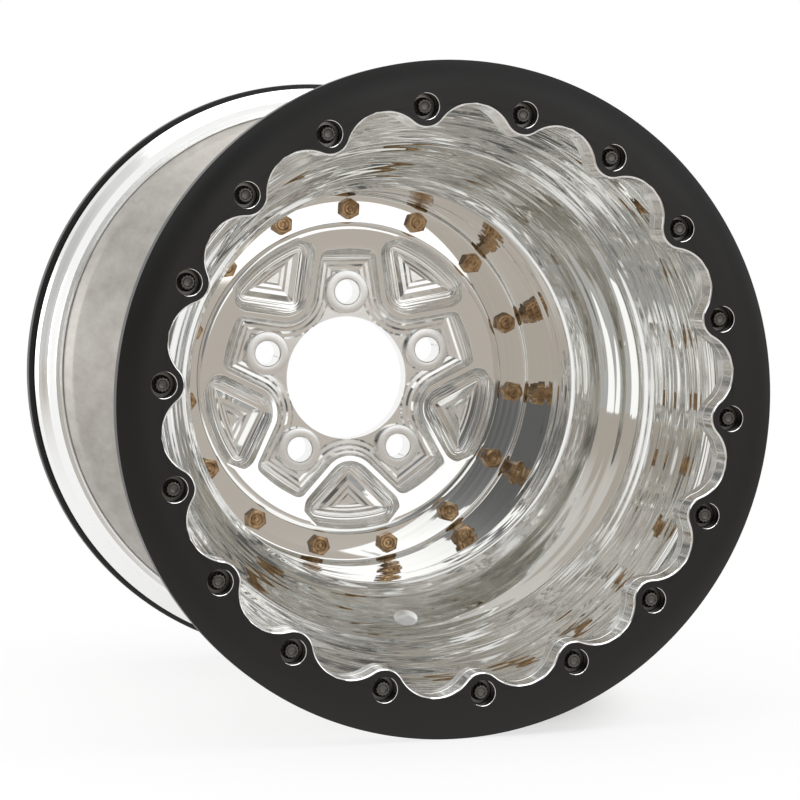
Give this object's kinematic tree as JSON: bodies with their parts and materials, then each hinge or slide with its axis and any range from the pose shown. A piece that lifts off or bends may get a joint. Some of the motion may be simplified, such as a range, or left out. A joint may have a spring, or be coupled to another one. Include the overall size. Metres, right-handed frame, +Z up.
{
  "type": "drag racing wheel",
  "caption": "Deep-dish three-piece racing wheel: polished spun barrel, pocketed centre with lug holes, and a scalloped bolted bead-lock ring on each end.",
  "frame": {"origin": "on the spin axis, half way between the outside faces of the two bead-lock rings", "axes": "+Y along the spin axis towards the car (the street side faces -Y), +Z up through one lug hole, +X to the right seen from the street side"},
  "size_m": [0.4172, 0.3844, 0.4172],
  "materials": {
    "black_anodised": "satin black anodised",
    "polished_aluminium": "polished",
    "machined_aluminium": "fine turned",
    "spun_aluminium": "polished inside, raw outside",
    "black_oxide_steel": "black oxide",
    "plated_steel": "yellow plated",
    "silicone": "smooth cured sealant"
  },
  "bodies": {
    "root": {"front_beadlock_ring": "black_anodised", "rear_beadlock_ring": "black_anodised", "front_ring_bolts": "black_oxide_steel", "rear_ring_bolts": "black_oxide_steel", "front_bead_flange": "machined_aluminium", "rear_bead_flange": "machined_aluminium", "outer_rim_half": "spun_aluminium", "inner_rim_half": "spun_aluminium", "wheel_centre": "polished_aluminium", "centre_bolts": "plated_steel", "centre_washers": "plated_steel", "centre_nuts": "plated_steel", "joint_sealant": "silicone"}
  },
  "joints": []
}
